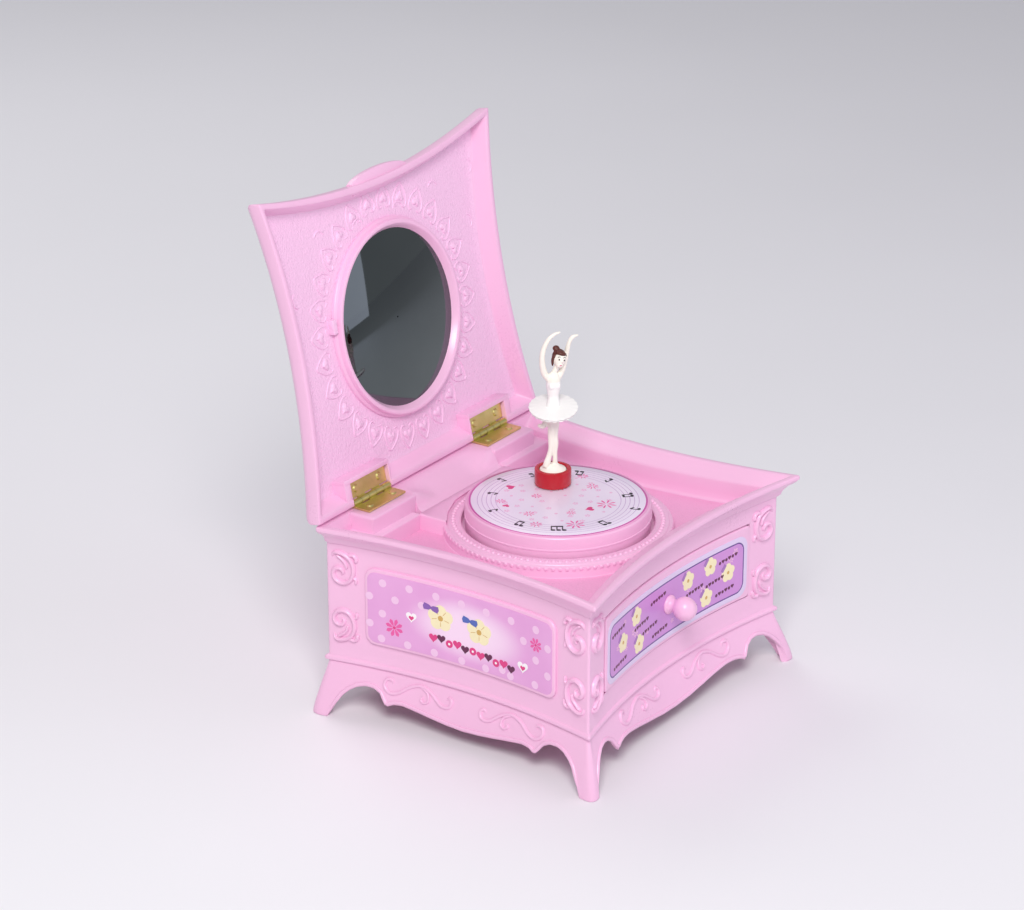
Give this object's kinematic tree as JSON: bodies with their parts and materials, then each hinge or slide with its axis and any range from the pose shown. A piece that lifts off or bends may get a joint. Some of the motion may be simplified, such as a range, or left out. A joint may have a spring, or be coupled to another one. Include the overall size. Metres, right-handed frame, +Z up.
{
  "type": "wind-up music box",
  "caption": "Jewellery music box with bowed sides, splayed feet, hinged mirror lid, pull-out drawer, tray, round stage with a magnet dancer, and a wind-up movement.",
  "frame": {"origin": "on the floor, under the middle of the box as it stands with its lid open", "axes": "+Z up, -Y towards the drawer side, +Y towards the hinges, +X to the right as seen from the drawer side"},
  "size_m": [0.1626, 0.1702, 0.2208],
  "materials": {
    "pink_plastic": "glossy moulded",
    "inner_plastic": "plain moulded",
    "label_print": "printed film",
    "drawer_print": "printed film",
    "stage_print": "printed film",
    "hinge_brass": "dull plated",
    "mirror_glass": "polished",
    "magnet_red": "enamelled",
    "dancer_cream": "moulded",
    "tutu_white": "stiff net",
    "steel": "plain",
    "zinc": "die cast",
    "brass": "machined",
    "white_plastic": "moulded",
    "ferrite": "sintered"
  },
  "bodies": {
    "case": {"base_frame": "pink_plastic", "case_body": "pink_plastic", "tray": "pink_plastic", "bottom_plate": "inner_plastic", "bottom_screws": "steel", "stage_cap": "pink_plastic", "stage_print": "stage_print", "left_label_panel": "pink_plastic", "right_label_panel": "pink_plastic", "left_label_print": "label_print", "right_label_print": "label_print", "drawer_guide": "inner_plastic", "left_case_leaf": "hinge_brass", "right_case_leaf": "hinge_brass", "left_hinge_pin": "hinge_brass", "right_hinge_pin": "hinge_brass", "case_hinge_screws": "hinge_brass", "movement_frame": "zinc", "spring_housing": "steel", "comb": "steel", "comb_screws": "steel", "movement_screws": "steel", "governor_bracket": "steel", "mainspring": "steel"},
    "lid": {"lid_shell": "pink_plastic", "mirror_frame": "pink_plastic", "mirror": "mirror_glass", "left_lid_leaf": "hinge_brass", "right_lid_leaf": "hinge_brass", "lid_hinge_screws": "hinge_brass"},
    "drawer": {"drawer_front": "pink_plastic", "drawer_print": "drawer_print", "drawer_box": "inner_plastic", "drawer_knob": "pink_plastic", "knob_screw": "steel"},
    "dancer_base": {"dancer_magnet": "magnet_red"},
    "dancer": {"dancer_figure": "dancer_cream", "dancer_tutu": "tutu_white"},
    "key": {"winding_arbor": "steel", "great_wheel": "brass", "winding_key": "steel"},
    "cylinder": {"pinned_cylinder": "brass", "cylinder_arbor": "steel", "cylinder_gear": "white_plastic", "drive_gear": "white_plastic"},
    "governor": {"governor_worm": "white_plastic", "air_brake": "white_plastic"},
    "idler": {"idler_arbor": "steel", "idler_wheel": "white_plastic"},
    "rotor": {"drive_shaft": "steel", "rotor_gear": "white_plastic", "magnet_carrier": "white_plastic", "carrier_magnets": "ferrite"}
  },
  "joints": [
    {"name": "lid_hinge", "type": "hinge", "parent": "case", "child": "lid", "pos_m": [0, 0.05216, 0.0878], "axis": [1, 0, 0], "range_deg": [0, 101.3]},
    {"name": "drawer_slide", "type": "slide", "parent": "case", "child": "drawer", "axis": [0, -1, 0], "range_m": [0, 0.03]},
    {"name": "dancer_lift", "type": "slide", "parent": "case", "child": "dancer_base", "axis": [0, -0.9578, 0.2873], "range_m": [0, 0.1255]},
    {"name": "dancer_spin", "type": "hinge", "parent": "dancer_base", "child": "dancer", "pos_m": [0.0126, -0.00224, 0.086], "axis": [0, 0, 1], "continuous": true},
    {"name": "cylinder_spin", "type": "hinge", "parent": "case", "child": "cylinder", "pos_m": [0, 0.01466, 0.0503], "axis": [1, 0, 0], "continuous": true},
    {"name": "key_turn", "type": "hinge", "parent": "case", "child": "key", "pos_m": [0.0285, 0.01466, 0.02], "axis": [0, 0, 1], "continuous": true},
    {"name": "idler_spin", "type": "hinge", "parent": "case", "child": "idler", "pos_m": [-0.012, 0.00666, 0.06], "axis": [0, 0, 1], "continuous": true},
    {"name": "rotor_spin", "type": "hinge", "parent": "case", "child": "rotor", "pos_m": [0, -0.01334, 0.06], "axis": [0, 0, 1], "continuous": true},
    {"name": "governor_spin", "type": "hinge", "parent": "case", "child": "governor", "pos_m": [-0.026, 0.02866, 0.05], "axis": [0, 0, 1], "continuous": true}
  ],
  "couplings": [
    {"joint": "dancer_lift", "follows": "lid_hinge", "m_per_rad": 0.07087},
    {"joint": "key_turn", "follows": "cylinder_spin", "ratio": -0.6},
    {"joint": "idler_spin", "follows": "cylinder_spin", "ratio": 1.0714},
    {"joint": "rotor_spin", "follows": "cylinder_spin", "ratio": -0.75},
    {"joint": "dancer_spin", "follows": "cylinder_spin", "ratio": -0.75},
    {"joint": "governor_spin", "follows": "cylinder_spin", "ratio": 12}
  ]
}
